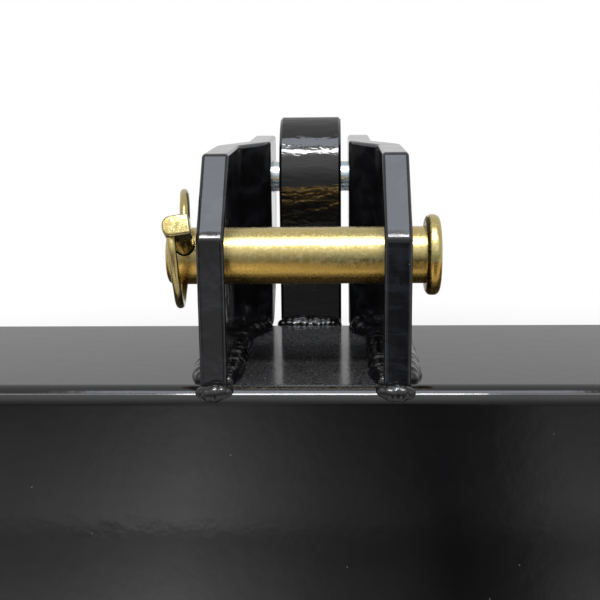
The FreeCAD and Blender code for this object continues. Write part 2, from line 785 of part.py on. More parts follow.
def bead(radius, points):
    """Round bead through the points, with round ends."""
    parts = [Part.makeSphere(radius, p) for p in points]
    for a, b in zip(points, points[1:]):
        parts.append(Part.makeCylinder(radius, a.distanceToPoint(b), a, b - a))
    return join(parts)


def clevis_weld():
    """Beads along both sides of the right cheek's foot, and one across its front."""
    end_y = tube_rear - tube_corner - clevis_weld_size - clevis_weld_stop
    beads = []
    for front, bend_a, bend_b, rear in cheek_sides():
        share = (end_y - bend_a[1]) / (bend_b[1] - bend_a[1])
        end_x = bend_a[0] + share * (bend_b[0] - bend_a[0])
        foot = [front, bend_a, (end_x, end_y)]
        beads.append(bead(clevis_weld_size, [Vector(x, y, tube_top) for x, y in foot]))
    nose_y = tube_front + nose_weld_set_in
    nose_z = tube_top - nose_weld_set_in
    nose = [Vector(x, nose_y, nose_z) for x in (cheek_inner_x, cheek_outer_x)]
    beads.append(bead(nose_weld_radius, nose))
    return join(beads).cut([cheek(), crossbar_solid()])


def hook_welds():
    """Beads down both sides of the hook, and one along its top seam."""
    side = hook_thickness / 2
    low = top_seat[1] - hook_seat_radius - hook_wall
    high = tube_top - tube_corner - hook_weld_size
    plate = block((-side, side), (tube_rear, cheek_rear_y), (low - hook_weld_size, tube_top))
    beads = []
    for x in (-side, side):
        run = bead(hook_weld_size, [Vector(x, tube_rear, z) for z in (low, high)])
        beads.append(run.cut([crossbar_solid(), plate]))
    groove = x_cylinder(tube_corner, -side, side, (tube_rear - seam_set_in, tube_top - seam_set_in))
    groove = groove.common(block((-side, side), (tube_front, tube_rear), (tube_bottom, 0)))
    beads.append(groove.cut(crossbar_solid()))
    return Part.makeCompound(beads)


def leg_welds():
    """Beads of the right leg: under the crossbar, and along the lapped plate."""
    y0 = tube_front + tube_corner + leg_weld_size
    y1 = tube_rear - tube_corner - leg_weld_size
    shaped = [crossbar_solid(), leg_solid()]
    under = bead(leg_weld_size, [Vector(leg_inner_x, y, tube_bottom) for y in (y0, y1)])
    beads = [under.cut(shaped)]
    for y in (tube_front + seam_set_in, tube_rear - seam_set_in):
        seam = x_cylinder(tube_corner, leg_inner_x + tube_corner, leg_outer_x - tube_corner,
                          (y, tube_bottom + seam_set_in))
        seam = seam.cut(shaped)
        beads.append(max(seam.Solids, key=lambda s: s.Volume))
    x = leg_outer_x
    front_y = tube_front + plate_front_inset
    over = [Vector(x, y, plate_top) for y in (front_y + plate_rounding, tube_rear - plate_weld_stop)]
    down = [Vector(x, front_y, z) for z in (leg_bottom + plate_weld_size, plate_top - plate_rounding)]
    for run in (over, down):
        beads.append(bead(plate_weld_size, run).cut([crossbar_solid(), leg_solid(), lower_hook()]))
    return Part.makeCompound(beads)


# ---- write every node ---------------------------------------------------

os.makedirs("parts", exist_ok=True)

save("crossbar_tube", crossbar_tube())
save_pair("crossbar_cap", crossbar_cap())
save_pair("cheek", cheek())
save("top_hook", top_hook())
save("tie_bolt", tie_bolt())
save("tie_nut", tie_nut())
save("tie_washers", tie_washers())
save("top_pin", top_pin())
top_linchpin, top_ring = top_linch()
save("top_linchpin", top_linchpin)
save("top_linchpin_ring", top_ring)
save_pair("leg", leg())
save_pair("leg_foot", leg_foot())
save_pair("lower_hook", lower_hook())
save_pair("lower_stud", lower_stud())
left_linchpin, left_ring = lower_linch()
save_pair("lower_linchpin", mirrored(left_linchpin))
save_pair("lower_linchpin_ring", mirrored(left_ring))
save_pair("latch_lever", latch_lever())
save_pair("latch_grip", latch_grip())
save_pair("latch_spring", latch_spring())
save_pair("spring_peg", spring_peg(plate_outer_x, plate_peg))
save_pair("pivot_bolt", pivot_bolt())
save_pair("pivot_nut", pivot_nut())
save_pair("latch_stop", latch_stop())
save_pair("clevis_weld", clevis_weld())
save("hook_welds", hook_welds())
save_pair("leg_welds", leg_welds())
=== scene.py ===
import math
import random

import bpy
from mathutils import Matrix, Vector


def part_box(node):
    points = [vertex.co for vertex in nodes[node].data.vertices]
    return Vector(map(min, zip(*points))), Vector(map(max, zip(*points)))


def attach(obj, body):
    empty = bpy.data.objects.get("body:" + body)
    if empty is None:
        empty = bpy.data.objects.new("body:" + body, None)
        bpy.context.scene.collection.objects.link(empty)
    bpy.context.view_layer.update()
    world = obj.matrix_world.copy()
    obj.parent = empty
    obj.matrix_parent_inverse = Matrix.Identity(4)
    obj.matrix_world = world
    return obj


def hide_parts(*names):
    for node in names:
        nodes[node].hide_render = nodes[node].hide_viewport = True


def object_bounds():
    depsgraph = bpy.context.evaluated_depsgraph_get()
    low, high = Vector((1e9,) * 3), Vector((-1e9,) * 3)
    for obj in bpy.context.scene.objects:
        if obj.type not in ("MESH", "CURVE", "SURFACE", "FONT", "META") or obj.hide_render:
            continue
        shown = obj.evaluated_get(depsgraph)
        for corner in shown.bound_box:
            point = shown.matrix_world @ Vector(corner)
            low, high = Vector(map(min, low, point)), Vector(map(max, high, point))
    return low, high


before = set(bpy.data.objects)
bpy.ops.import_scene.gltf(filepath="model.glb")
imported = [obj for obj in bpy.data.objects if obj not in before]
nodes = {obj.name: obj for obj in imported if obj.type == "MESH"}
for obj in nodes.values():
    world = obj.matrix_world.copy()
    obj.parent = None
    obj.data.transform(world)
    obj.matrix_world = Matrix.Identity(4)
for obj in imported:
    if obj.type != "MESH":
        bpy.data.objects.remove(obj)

# a box is two corners, low and high, each with its x, y and z in metres
cadBox = [list(corner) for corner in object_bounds()]
print("frame loaded:", len(nodes), "nodes")


# small node helpers, so that each finish below reads as a recipe

def newMaterial(name):
    material = bpy.data.materials.new(name)
    material.use_nodes = True
    tree = material.node_tree
    return material, tree, tree.nodes["Principled BSDF"]


def addNode(tree, kind, **settings):
    node = tree.nodes.new(kind)
    for key, value in settings.items():
        setattr(node, key, value)
    return node


def stretchedCoords(tree, stretch=(1, 1, 1)):
    coords = addNode(tree, "ShaderNodeTexCoord")
    mapping = addNode(tree, "ShaderNodeMapping")
    mapping.inputs["Scale"].default_value = stretch
    tree.links.new(coords.outputs["Object"], mapping.inputs["Vector"])
    return mapping.outputs["Vector"]


def axes(tree, vector):
    parts = addNode(tree, "ShaderNodeSeparateXYZ")
    tree.links.new(vector, parts.inputs["Vector"])
    return parts.outputs


def noise(tree, vector, cellsPerMetre, detail, roughness=0.55, distortion=0.0):
    texture = addNode(tree, "ShaderNodeTexNoise")
    texture.inputs["Scale"].default_value = cellsPerMetre
    texture.inputs["Detail"].default_value = detail
    texture.inputs["Roughness"].default_value = roughness
    texture.inputs["Distortion"].default_value = distortion
    tree.links.new(vector, texture.inputs["Vector"])
    return texture.outputs["Fac"]


def ranged(tree, value, low, high, fromLow=0.3, fromHigh=0.7):
    node = addNode(tree, "ShaderNodeMapRange", interpolation_type="SMOOTHSTEP")
    node.inputs["From Min"].default_value = fromLow
    node.inputs["From Max"].default_value = fromHigh
    node.inputs["To Min"].default_value = low
    node.inputs["To Max"].default_value = high
    tree.links.new(value, node.inputs["Value"])
    return node.outputs["Result"]


def maths(tree, operation, first, second=0.0):
    node = addNode(tree, "ShaderNodeMath", operation=operation)
    for socket, value in zip(node.inputs, (first, second)):
        if isinstance(value, (int, float)):
            socket.default_value = value
        else:
            tree.links.new(value, socket)
    return node.outputs["Value"]


def mixed(tree, factor, colorA, colorB):
    # the colour sockets of this node share their names, so they go by number
    node = addNode(tree, "ShaderNodeMix", data_type="RGBA")
    tree.links.new(factor, node.inputs["Factor"])
    for socket, color in ((node.inputs[6], colorA), (node.inputs[7], colorB)):
        if isinstance(color, tuple):
            socket.default_value = color + (1,)
        else:
            tree.links.new(color, socket)
    return node.outputs[2]


def bumped(tree, height, strength, distance, under=None):
    node = addNode(tree, "ShaderNodeBump")
    node.inputs["Strength"].default_value = strength
    node.inputs["Distance"].default_value = distance
    tree.links.new(height, node.inputs["Height"])
    if under is not None:
        tree.links.new(under, node.inputs["Normal"])
    return node.outputs["Normal"]


def specks(tree, vector, cellsPerMetre, size, share):
    # round dust specks: a small disc in some of the cells
    cells = addNode(tree, "ShaderNodeTexVoronoi")
    cells.inputs["Scale"].default_value = cellsPerMetre
    tree.links.new(vector, cells.inputs["Vector"])
    chosen = addNode(tree, "ShaderNodeSeparateColor")
    tree.links.new(cells.outputs["Color"], chosen.inputs["Color"])
    inside = maths(tree, "LESS_THAN", cells.outputs["Distance"], size * cellsPerMetre)
    present = maths(tree, "GREATER_THAN", chosen.outputs["Red"], 1 - share)
    return maths(tree, "MULTIPLY", inside, present)


# in every finish, a noise is given as its cells per metre, detail, roughness and
# distortion, and a relief as its strength and depth

overspraySpec = {
    "color": (0.060, 0.060, 0.062),
    "roughness": 0.17,
    "halfWidth": 0.026,
    "sideFade": 0.004,
    "topFade": (0.003, 0.0005),
    "frontFade": (0.001, 0.006),
    "patchNoise": (60, 4),
    "patch": (0.65, 1.0),
    "gritNoise": (1200, 2),
    "grit": (0.25, 1.7),
    "gritRange": (0.38, 0.62),
    "grainCells": 520,
    "grainSize": 0.00022,
    "grainShare": 0.16,
}


def oversprayMask(tree, vector):
    # dry overspray on the crossbar's top, only between the two cheeks
    spec = overspraySpec
    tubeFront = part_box("crossbar_tube")[0][1]
    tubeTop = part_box("crossbar_tube")[1][2]
    place = axes(tree, stretchedCoords(tree))
    wide = spec["halfWidth"]
    aside = maths(tree, "ABSOLUTE", place["X"])
    across = ranged(tree, aside, 1, 0, wide - spec["sideFade"], wide)
    top = ranged(tree, place["Z"], 0, 1, *[tubeTop - d for d in spec["topFade"]])
    front = ranged(tree, place["Y"], 0, 1, *[tubeFront + d for d in spec["frontFade"]])
    patchy = ranged(tree, noise(tree, vector, *spec["patchNoise"]), *spec["patch"])
    level = maths(tree, "MULTIPLY", across, top)
    return maths(tree, "MULTIPLY", level, maths(tree, "MULTIPLY", front, patchy))


def sprayedOver(tree, vector, paint, dull, dust):
    # the same paint where overspray dried on it: greyer, duller and gritty
    spec = overspraySpec
    dry = oversprayMask(tree, vector)
    grit = ranged(tree, noise(tree, vector, *spec["gritNoise"]), *spec["grit"], *spec["gritRange"])
    paint = mixed(tree, maths(tree, "MULTIPLY", dry, grit), paint, spec["color"])
    dull = maths(tree, "MAXIMUM", dull, maths(tree, "MULTIPLY", dry, spec["roughness"]))
    grains = specks(tree, vector, spec["grainCells"], spec["grainSize"], spec["grainShare"])
    dust = maths(tree, "MAXIMUM", dust, maths(tree, "MULTIPLY", grains, dry))
    return paint, dull, dust


foldSpec = {
    "aboveTube": 0.0476,
    "reach": 0.0044,
    "slope": 0.150,
    "frontNormal": -0.6,
    "relief": (1.0, 1.0),
}


def foldHeight(tree):
    # the pressed fold across a cheek's front edge is a broad soft bend
    spec = foldSpec
    place = axes(tree, stretchedCoords(tree))
    geometry = addNode(tree, "ShaderNodeNewGeometry")
    normal = axes(tree, geometry.outputs["True Normal"])
    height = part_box("crossbar_tube")[1][2] + spec["aboveTube"]
    above = maths(tree, "MAXIMUM", maths(tree, "SUBTRACT", place["Z"], height))
    left = maths(tree, "MAXIMUM", maths(tree, "SUBTRACT", spec["reach"], above))
    curve = -spec["slope"] / (2 * spec["reach"])
    sunk = maths(tree, "MULTIPLY", maths(tree, "POWER", left, 2.0), curve)
    front = maths(tree, "LESS_THAN", normal["Y"], spec["frontNormal"])
    return maths(tree, "MULTIPLY", sunk, front)


paintSpec = {
    "dark": (0.004, 0.004, 0.0045),
    "pale": (0.008, 0.008, 0.009),
    "clouds": (14, 4),
    # painted reflection: bluish patches in the base colour stand in for the lamps' mottled
    # reflection
    "paintedReflectionPatch": (0.020, 0.021, 0.027),
    "paintedReflectionNoise": (85, 4, 0.65, 0.6),
    "paintedReflectionStretch": (1, 1, 1.8),
    "paintedReflectionRange": (0.42, 0.68),
    "roughness": (0.06, 0.14),
    "smearNoise": (9, 5, 0.6),
    "smearStretch": (1.5, 6, 6),
    "smearRange": (0.35, 0.75),
    "dust": (0.30, 0.30, 0.31),
    "dustCells": 210,
    "dustSize": 0.00017,
    "dustShare": 0.22,
    "dustRoughness": 0.4,
    "peelNoise": (170, 2),
    "peelRelief": (0.10, 0.0004),
    "rippleNoise": (1, 3, 0.5, 0.4),
    "rippleDepth": 0.001,
    "indexOfRefraction": 1.5,
}


def glossPaint(name, ripple=0.0, rippleCells=(1, 1, 1), overspray=False, withPaintedReflection=False,
               folded=False):
    spec = paintSpec
    material, tree, shader = newMaterial(name)
    vector = stretchedCoords(tree)
    clouds = noise(tree, vector, *spec["clouds"])
    dust = specks(tree, vector, spec["dustCells"], spec["dustSize"], spec["dustShare"])
    paint = mixed(tree, ranged(tree, clouds, 0, 1), spec["dark"], spec["pale"])
    # painted reflection: bluish patches mixed into the base colour where the lamps' reflection
    # looks mottled
    if withPaintedReflection:
        paintedReflectionPatch = noise(tree, stretchedCoords(tree, spec["paintedReflectionStretch"]), *spec["paintedReflectionNoise"])
        paintedReflectionShare = ranged(tree, paintedReflectionPatch, 0, 1, *spec["paintedReflectionRange"])
        paint = mixed(tree, paintedReflectionShare, paint, spec["paintedReflectionPatch"])
    smear = noise(tree, stretchedCoords(tree, spec["smearStretch"]), *spec["smearNoise"])
    dull = ranged(tree, smear, *spec["roughness"], *spec["smearRange"])
    if overspray:
        paint, dull, dust = sprayedOver(tree, vector, paint, dull, dust)
    tree.links.new(mixed(tree, dust, paint, spec["dust"]), shader.inputs["Base Color"])
    dusty = maths(tree, "MULTIPLY", dust, spec["dustRoughness"])
    tree.links.new(maths(tree, "ADD", dull, dusty), shader.inputs["Roughness"])
    relief = bumped(tree, noise(tree, vector, *spec["peelNoise"]), *spec["peelRelief"])
    if ripple:
        waves = noise(tree, stretchedCoords(tree, rippleCells), *spec["rippleNoise"])
        relief = bumped(tree, waves, ripple, spec["rippleDepth"], relief)
    if folded:
        relief = bumped(tree, foldHeight(tree), *foldSpec["relief"], relief)
    tree.links.new(relief, shader.inputs["Normal"])
    shader.inputs["IOR"].default_value = spec["indexOfRefraction"]
    return material


zincSpec = {
    "gold": (0.52, 0.40, 0.15),
    "olive": (0.44, 0.38, 0.16),
    "rose": (0.52, 0.32, 0.11),
    "pale": (0.60, 0.54, 0.34),
    "amber": (0.54, 0.32, 0.065),
    "driftNoise": (45, 4, 0.6, 0.5),
    "oliveShare": (0, 0.8, 0.40, 0.62),
    "tintNoise": (28, 3, 0.5, 0.8),
    "roseShare": (0, 0.55, 0.52, 0.70),
    "mottleNoise": (900, 2),
    "paleRange": (0.45, 0.70),
    "amberWave": 0.006,
    "amberBelow": (-0.0016, 0.0012),
    "amberBehind": (0.001, 0.005),
    "roughness": (0.20, 0.34),
    "grainNoise": (600, 3),
    "grainRelief": (0.16, 0.0002),
    "driftRelief": (0.15, 0.0006),
}


def amberShare(tree, drift, most):
    # amber below a wavy line at the pin's axis, and towards the pin's rear
    spec = zincSpec
    place = axes(tree, stretchedCoords(tree))
    wave = maths(tree, "MULTIPLY", maths(tree, "SUBTRACT", drift, 0.5), spec["amberWave"])
    wavy = maths(tree, "ADD", place["Z"], wave)
    low = ranged(tree, wavy, most, 0, *spec["amberBelow"])
    return maths(tree, "MAXIMUM", low, ranged(tree, place["Y"], 0, most, *spec["amberBehind"]))


def yellowZinc(name, pale, stretch=(1, 1, 1), dark=1.0, amber=0.0, polish=1.0):
    # chromate film: gold that drifts to olive and rose, with amber, when given, below a wavy line
    # at its axis and towards its rear
    spec = zincSpec
    material, tree, shader = newMaterial(name)
    vector = stretchedCoords(tree, stretch)
    drift = noise(tree, vector, *spec["driftNoise"])
    tint = noise(tree, vector, *spec["tintNoise"])
    mottle = noise(tree, stretchedCoords(tree), *spec["mottleNoise"])
    shade = {key: tuple(c * dark for c in spec[key])
             for key in ("gold", "olive", "rose", "pale", "amber")}
    base = mixed(tree, ranged(tree, drift, *spec["oliveShare"]), shade["gold"], shade["olive"])
    base = mixed(tree, ranged(tree, tint, *spec["roseShare"]), base, shade["rose"])
    base = mixed(tree, ranged(tree, mottle, 0, pale, *spec["paleRange"]), base, shade["pale"])
    if amber:
        base = mixed(tree, amberShare(tree, drift, amber), base, shade["amber"])
    tree.links.new(base, shader.inputs["Base Color"])
    dull = ranged(tree, mottle, *[level * polish for level in spec["roughness"]])
    tree.links.new(dull, shader.inputs["Roughness"])
    shader.inputs["Metallic"].default_value = 1.0
    grain = bumped(tree, noise(tree, vector, *spec["grainNoise"]), *spec["grainRelief"])
    tree.links.new(bumped(tree, drift, *spec["driftRelief"], grain), shader.inputs["Normal"])
    return material


whiteZincSpec = {
    "grey": (0.62, 0.66, 0.68),
    "blue": (0.50, 0.62, 0.66),
    "driftNoise": (60, 4, 0.6, 0.6),
    "grainNoise": (700, 3),
    "grainRelief": (0.12, 0.0002),
    "roughness": (0.2, 0.36),
}


def whiteZinc(name, dark=1.0):
    spec = whiteZincSpec
    material, tree, shader = newMaterial(name)
    vector = stretchedCoords(tree)
    drift = noise(tree, vector, *spec["driftNoise"])
    grey, blue = (tuple(c * dark for c in spec[key]) for key in ("grey", "blue"))
    base = mixed(tree, ranged(tree, drift, 0, 1), grey, blue)
    tree.links.new(base, shader.inputs["Base Color"])
    grain = noise(tree, vector, *spec["grainNoise"])
    tree.links.new(ranged(tree, grain, *spec["roughness"]), shader.inputs["Roughness"])
    shader.inputs["Metallic"].default_value = 1.0
    tree.links.new(bumped(tree, grain, *spec["grainRelief"]), shader.inputs["Normal"])
    return material


vinylSpec = {
    "dark": (0.018, 0.018, 0.018),
    "pale": (0.035, 0.035, 0.034),
    "clouds": (40, 4),
    "smearNoise": (25, 3),
    "roughness": (0.38, 0.55),
    "grainNoise": (900, 3),
    "grainRelief": (0.25, 0.0002),
}


def dippedVinyl(name):
    spec = vinylSpec
    material, tree, shader = newMaterial(name)
    vector = stretchedCoords(tree)
    clouds = noise(tree, vector, *spec["clouds"])
    base = mixed(tree, ranged(tree, clouds, 0, 1), spec["dark"], spec["pale"])
    tree.links.new(base, shader.inputs["Base Color"])
    smear = noise(tree, vector, *spec["smearNoise"])
    tree.links.new(ranged(tree, smear, *spec["roughness"]), shader.inputs["Roughness"])
    grain = noise(tree, vector, *spec["grainNoise"])
    tree.links.new(bumped(tree, grain, *spec["grainRelief"]), shader.inputs["Normal"])
    return material


finishes = {
    "tube": glossPaint("glossBlackTube", overspray=True),
    # the plate and cheek paints carry the bluish painted reflection patches
    "plate": glossPaint("glossBlackPlate", ripple=0.14, rippleCells=(90, 90, 90), withPaintedReflection=True),
    "cheek": glossPaint("glossBlackCheek", ripple=0.14, rippleCells=(90, 90, 90), withPaintedReflection=True,
                        folded=True),
    "cut": glossPaint("glossBlackFlameCut", ripple=0.25, rippleCells=(85, 240, 240)),
    "weld": glossPaint("glossBlackWeld", ripple=0.25, rippleCells=(260, 260, 260)),
    "pin": yellowZinc("yellowZincPin", pale=0.4, stretch=(0.35, 1, 1), amber=0.85),
    "stud": yellowZinc("yellowZincStud", pale=0.4, stretch=(0.35, 1, 1)),
    "linch": yellowZinc("yellowZincLinchpin", pale=0.3, dark=0.80, polish=0.5),
    "ring": yellowZinc("yellowZincRing", pale=0.3, dark=0.85, polish=0.8),
    "bolt": whiteZinc("whiteZincBolt"),
    "spring": whiteZinc("whiteZincSpring", dark=0.9),
    "vinyl": dippedVinyl("dippedVinylGrip"),
}

# which finish each node takes, by the start of its name; later lines win
nodeFinishes = [
    ("", "plate"),
    ("crossbar", "tube"),
    ("leg", "tube"),
    ("cheek", "cheek"),
    ("top_hook", "cut"),
    ("lower_hook", "cut"),
    ("clevis_weld", "weld"),
    ("hook_welds", "weld"),
    ("leg_welds", "weld"),
    ("top_pin", "pin"),
    ("lower_stud", "stud"),
    ("top_linchpin", "linch"),
    ("lower_linchpin", "linch"),
    ("top_linchpin_ring", "ring"),
    ("lower_linchpin_ring", "ring"),
    ("tie_", "bolt"),
    ("pivot_", "bolt"),
    ("latch_spring", "spring"),
    ("latch_grip", "vinyl"),
]
for nodeName, node in nodes.items():
    chosen = [finish for start, finish in nodeFinishes if nodeName.startswith(start)][-1]
    node.data.materials.clear()
    node.data.materials.append(finishes[chosen])
print("finishes on the CAD nodes")


weldSpec = {
    "rippleFacets": (16, 10),
    "frontFrom": 0.01,
    "flatFront": 0.6,
    "step": 0.0019,
    "lengthPerStep": 1.9,
    "lean": 26,
    "leanJitter": 6,
    "endSize": 0.7,
    "endRise": 0.2,
    "jitter": 0.11,
    "wander": 0.5,
    "voxel": 0.00036,
    "settle": 0.5,
    "smoothing": 5,
    "cheekThickness": 0.009,
    "cheekSize": 0.0042,
    "cheekOuterSetBack": 0.003,
    "cheekBendRun": 0.020,
    "cheekBendToWasher": 0.0044,
    "cheekStop": 0.0094,
    "noseSetIn": 0.0022,
    "noseEndInset": 0.0009,
    "noseSize": 0.0032,
    "hookSize": 0.0055,
    "seamSetIn": 0.0014,
    "seamSize": 0.0042,
    "seamEnd": 0.002,
    "legSize": 0.005,
    "plateSize": 0.0045,
    "plateFrontInset": 0.009,
    "plateRounding": 0.014,
    "plateStop": 0.028,
}


def select(*pieces):
    # the first piece is the active one
    bpy.ops.object.select_all(action="DESELECT")
    for piece in pieces:
        piece.select_set(True)
    bpy.context.view_layer.objects.active = pieces[0]


def placeInMesh(piece):
    # the finished piece keeps its place in its mesh, with its object at the origin
    select(piece)
    bpy.ops.object.transform_apply(location=True, rotation=True, scale=True)


def applyModifier(piece, kind, name, **settings):
    select(piece)
    modifier = piece.modifiers.new(name, kind)
    for key, value in settings.items():
        setattr(modifier, key, value)
    bpy.ops.object.modifier_apply(modifier=name)


def bevelEdges(piece, wanted, offset, segments):
    # rounds the edges whose two ends pass the test
    select(piece)
    bpy.ops.object.mode_set(mode="EDIT")
    bpy.ops.mesh.select_mode(type="EDGE")
    bpy.ops.mesh.select_all(action="DESELECT")
    bpy.ops.object.mode_set(mode="OBJECT")
    for edge in piece.data.edges:
        edge.select = wanted(*[piece.data.vertices[v].co for v in edge.vertices])
    bpy.ops.object.mode_set(mode="EDIT")
    bpy.ops.mesh.bevel(offset=offset, segments=segments)
    bpy.ops.object.mode_set(mode="OBJECT")


def shadeFlatFaces(piece, sharpFrom):
    # rounded edges shade smoothly and the flat faces between them stay flat
    select(piece)
    bpy.ops.object.shade_smooth_by_angle(angle=math.radians(sharpFrom))
    applyModifier(piece, "WEIGHTED_NORMAL", "flatFaces", weight=100, keep_sharp=True)


def finishPiece(piece, name, body, finish, replaced):
    piece.name = name
    piece.data.name = name
    piece.data.materials.clear()
    piece.data.materials.append(finishes[finish])
    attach(piece, body)
    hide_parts(replaced)


def weldRipple():
    # one frozen ripple: a ball whose front half is pressed flat
    spec = weldSpec
    around, upward = spec["rippleFacets"]
    bpy.ops.mesh.primitive_uv_sphere_add(segments=around, ring_count=upward, radius=1)
    ripple = bpy.context.object
    bpy.ops.object.mode_set(mode="EDIT")
    bpy.ops.mesh.select_all(action="DESELECT")
    bpy.ops.object.mode_set(mode="OBJECT")
    for vertex in ripple.data.vertices:
        vertex.select = vertex.co.x > spec["frontFrom"]
    bpy.ops.object.mode_set(mode="EDIT")
    bpy.ops.transform.resize(value=(spec["flatFront"], 1, 1), center_override=(0, 0, 0))
    bpy.ops.object.mode_set(mode="OBJECT")
    return ripple


def alongRun(points, step):
    # even places along a run of straight stretches, each with its direction
    places = []
    for start, end in zip(points, points[1:]):
        run = Vector(end) - Vector(start)
        count = max(1, round(run.length / step))
        for k in range(count + 1):
            places.append((Vector(start) + run * (k / count), run.normalized()))
    return places


def layRipple(ripple, place, forward, size, rng):
    # one copy of the ripple, leant over and a little out of size and place
    spec = weldSpec
    length = spec["step"] * spec["lengthPerStep"]
    swell = [1 + rng.uniform(-1, 1) * spec["jitter"] for _ in range(3)]
    turn = forward.to_track_quat("X", "Z").to_matrix().to_4x4()
    leant = spec["lean"] + rng.uniform(-spec["leanJitter"], spec["leanJitter"])
    lean = Matrix.Rotation(math.radians(leant), 4, "Y")
    grow = Matrix.Diagonal((length * swell[0], size * swell[1], size * swell[2], 1))
    wander = spec["jitter"] * size * spec["wander"]
    shift = Vector([rng.uniform(-1, 1) * wander for _ in range(3)])
    copy = ripple.copy()
    copy.data = ripple.data.copy()
    copy.data.transform(Matrix.Translation(place + shift) @ turn @ lean @ grow)
    bpy.context.collection.objects.link(copy)
    return copy


def layBeads(runs, rng):
    # one bead per run: ripples laid over one another, then melted together
    spec = weldSpec
    ripple = weldRipple()
    laid = []
    for points, full in runs:
        places = alongRun(points, spec["step"])
        for k, (place, forward) in enumerate(places):
            fromEnd = min(k, len(places) - 1 - k)
            size = full * min(1, spec["endSize"] + spec["endRise"] * fromEnd)
            laid.append(layRipple(ripple, place, forward, size, rng))
    bpy.data.objects.remove(ripple)
    select(*laid)
    bpy.ops.object.join()
    bead = bpy.context.object
    applyModifier(bead, "REMESH", "melt", mode="VOXEL", voxel_size=spec["voxel"])
    applyModifier(bead, "SMOOTH", "settle", factor=spec["settle"], iterations=spec["smoothing"])
    bpy.ops.object.shade_smooth()
    return bead


def onSide(side, runs):
    # runs are written for the right side; the left one is their mirror image
    if side == "right":
        return runs
    return [([(-x, y, z) for x, y, z in points], size) for points, size in runs]


def cheekRuns(side):
    # down both sides of a cheek's foot, and a lump that fills the notch before it
    spec = weldSpec
    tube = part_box("crossbar_tube")
    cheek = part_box("cheek_right")
    size = spec["cheekSize"]
    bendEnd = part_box("tie_washers")[0][1] - spec["cheekBendToWasher"]
    bendStart = bendEnd - spec["cheekBendRun"]
    top = tube[1][2]
    outerX = cheek[1][0]
    innerX = outerX - spec["cheekThickness"]
    shift = innerX - cheek[0][0]
    endY = tube[1][1] - spec["cheekStop"]
    share = (endY - bendStart) / (bendEnd - bendStart)
    runs = []
    for x, setBack in ((innerX, 0), (outerX, spec["cheekOuterSetBack"])):
        start = cheek[0][1] + size + setBack
        points = [(x, start, top), (x, bendStart, top), (x - shift * share, endY, top)]
        runs.append((points, size))
    noseY = tube[0][1] + spec["noseSetIn"]
    noseZ = top - spec["noseSetIn"]
    inset = spec["noseEndInset"]
    points = [(innerX + inset, noseY, noseZ), (outerX - inset, noseY, noseZ)]
    runs.append((points, spec["noseSize"]))
    return onSide(side, runs)


def hookRuns():
    # both sides of the hook up the crossbar's rear face, and the seam on top
    spec = weldSpec
    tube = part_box("crossbar_tube")
    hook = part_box("top_hook")
    size = spec["hookSize"]
    half = hook[1][0]
    rearY = tube[1][1]
    low = hook[0][2] + size
    high = tube[1][2] - spec["seamSize"] - size
    runs = [([(x, rearY, low), (x, rearY, high)], size) for x in (-half, half)]
    seamX = half - spec["seamEnd"]
    seamY = rearY - spec["seamSetIn"]
    seamZ = tube[1][2] - spec["seamSetIn"]
    runs.append(([(-seamX, seamY, seamZ), (seamX, seamY, seamZ)], spec["seamSize"]))
    return runs


def legRuns(side):
    # under the crossbar, across both butt seams, and round the lapped plate
    spec = weldSpec
    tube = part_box("crossbar_tube")
    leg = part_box("leg_right")
    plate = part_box("lower_hook_right")
    frontY = tube[0][1]
    rearY = tube[1][1]
    bottom = tube[0][2]
    innerX = leg[0][0]
    outerX = leg[1][0]
    seam = spec["seamSize"]
    size = spec["legSize"]
    runs = [([(innerX, frontY + seam + size, bottom), (innerX, rearY - seam - size, bottom)], size)]
    aside = seam + spec["seamEnd"]
    z = bottom + spec["seamSetIn"]
    for y in (frontY + spec["seamSetIn"], rearY - spec["seamSetIn"]):
        runs.append(([(innerX + aside, y, z), (outerX - aside, y, z)], seam))
    size = spec["plateSize"]
    rounding = spec["plateRounding"]
    edgeY = frontY + spec["plateFrontInset"]
    endY = rearY - spec["plateStop"]
    top = plate[1][2]
    runs.append(([(outerX, edgeY + rounding, top), (outerX, endY, top)], size))
    runs.append(([(outerX, edgeY, leg[0][2] + size), (outerX, edgeY, top - rounding)], size))
    return onSide(side, runs)


tubeSpec = {
    "cornerRadius": 0.0058,
    "cornerSegments": 12,
    "sharpFrom": 40,
}


def crossbarShape():
    # square tube with drawn corners; its two end rims are rounded as well
    spec = tubeSpec
    low, high = (Vector(corner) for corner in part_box("crossbar_tube"))
    bpy.ops.mesh.primitive_cube_add(size=1, location=(low + high) / 2, scale=high - low)
    tube = bpy.context.object
    placeInMesh(tube)
    bevelEdges(tube, lambda a, b: True, spec["cornerRadius"], spec["cornerSegments"])
    shadeFlatFaces(tube, spec["sharpFrom"])
    return tube


finishPiece(crossbarShape(), "crossbarSteel", "frame", "tube", "crossbar_tube")
print("crossbar made")

rng = random.Random(7)
for side in ("left", "right"):
    finishPiece(layBeads(cheekRuns(side), rng), "clevisBeads_" + side, "frame", "weld",
                "clevis_weld_" + side)
    finishPiece(layBeads(legRuns(side), rng), "legBeads_" + side, "frame", "weld",
                "leg_welds_" + side)
finishPiece(layBeads(hookRuns(), rng), "hookBeads", "frame", "weld", "hook_welds")
print("weld beads laid")


